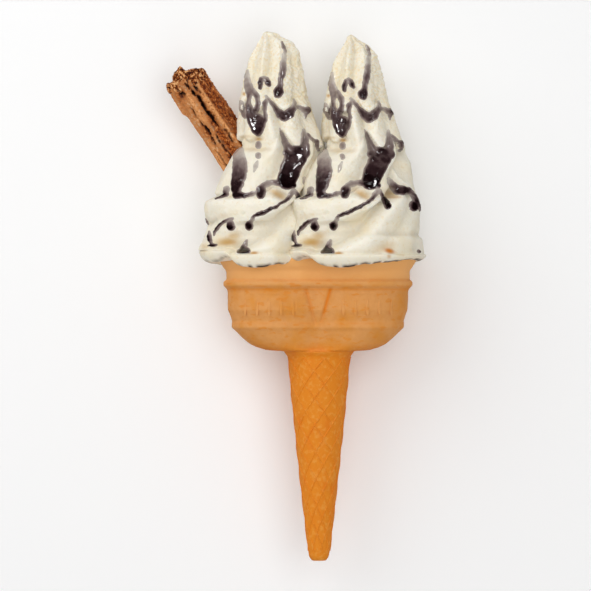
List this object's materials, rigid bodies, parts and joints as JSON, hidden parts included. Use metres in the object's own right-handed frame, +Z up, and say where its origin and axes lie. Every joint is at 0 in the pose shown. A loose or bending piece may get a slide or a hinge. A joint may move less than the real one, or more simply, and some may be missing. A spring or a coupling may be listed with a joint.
{
  "type": "twin ice cream cone",
  "caption": "Twin-cup wafer cone with two tall soft-serve swirls, dark sauce drizzle and a flaked chocolate bar, lying on its back.",
  "frame": {"origin": "centre of the bottom of the bounding box, on the surface the cone lies on", "axes": "+Y along the cone from the stem tip to the swirl tips, +X across the two cups, +Z up, from the back of the cone to its shown side"},
  "size_m": [0.1212, 0.2492, 0.0688],
  "materials": {
    "wafer": "dry baked wafer, faintly porous",
    "cream": "soft satin cream with glossy dark sauce",
    "chocolate": "dull crumbly flaked chocolate"
  },
  "bodies": {
    "root": {"wafer_cone": "wafer", "swirl_left": "cream", "swirl_right": "cream", "chocolate_bar": "chocolate"}
  },
  "joints": []
}
